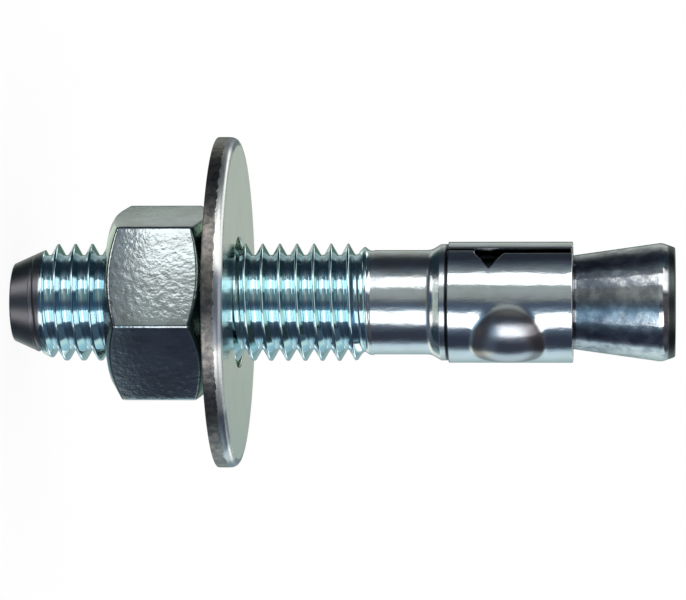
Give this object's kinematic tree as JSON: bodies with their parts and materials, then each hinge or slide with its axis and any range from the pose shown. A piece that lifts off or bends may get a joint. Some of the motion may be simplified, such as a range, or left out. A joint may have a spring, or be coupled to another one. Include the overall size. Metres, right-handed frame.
{
  "type": "wedge anchor",
  "caption": "Expansion anchor bolt for concrete: threaded stud with a coned end, a split clip round its neck, a washer and a hex nut.",
  "frame": {"origin": "centre of the flat end of the threaded tip, which the anchor stands on", "axes": "+Z along the stud from the threaded tip to the cone; +X and +Y across it"},
  "size_m": [0.0444, 0.0444, 0.0889],
  "materials": {
    "stud_zinc": "bright zinc plate over rolled thread and drawn shank, bluish, faintly streaked",
    "clip_zinc": "bright zinc plate over rolled strip, smooth",
    "washer_zinc": "zinc plate over stamped steel, satin, faintly green",
    "nut_zinc": "zinc plate over forged faces, mottled"
  },
  "bodies": {
    "stud": {"stud": "stud_zinc"},
    "flat_washer": {"flat_washer": "washer_zinc"},
    "hex_nut": {"hex_nut": "nut_zinc"},
    "expansion_clip": {"expansion_clip": "clip_zinc"}
  },
  "joints": [
    {"name": "washer_travel", "type": "slide", "parent": "stud", "child": "flat_washer", "axis": [0, 0, 1], "range_m": [-0.0135, 0.02]},
    {"name": "nut_turn", "type": "hinge", "parent": "flat_washer", "child": "hex_nut", "pos_m": [0, 0, 0.0203], "axis": [0, 0, 1], "range_deg": [-2090, 3090]},
    {"name": "clip_slide", "type": "slide", "parent": "stud", "child": "expansion_clip", "axis": [0, 0, 1], "range_m": [0, 0.001]}
  ],
  "couplings": [
    {"joint": "washer_travel", "follows": "nut_turn", "m_per_rad": 0.0003675}
  ]
}
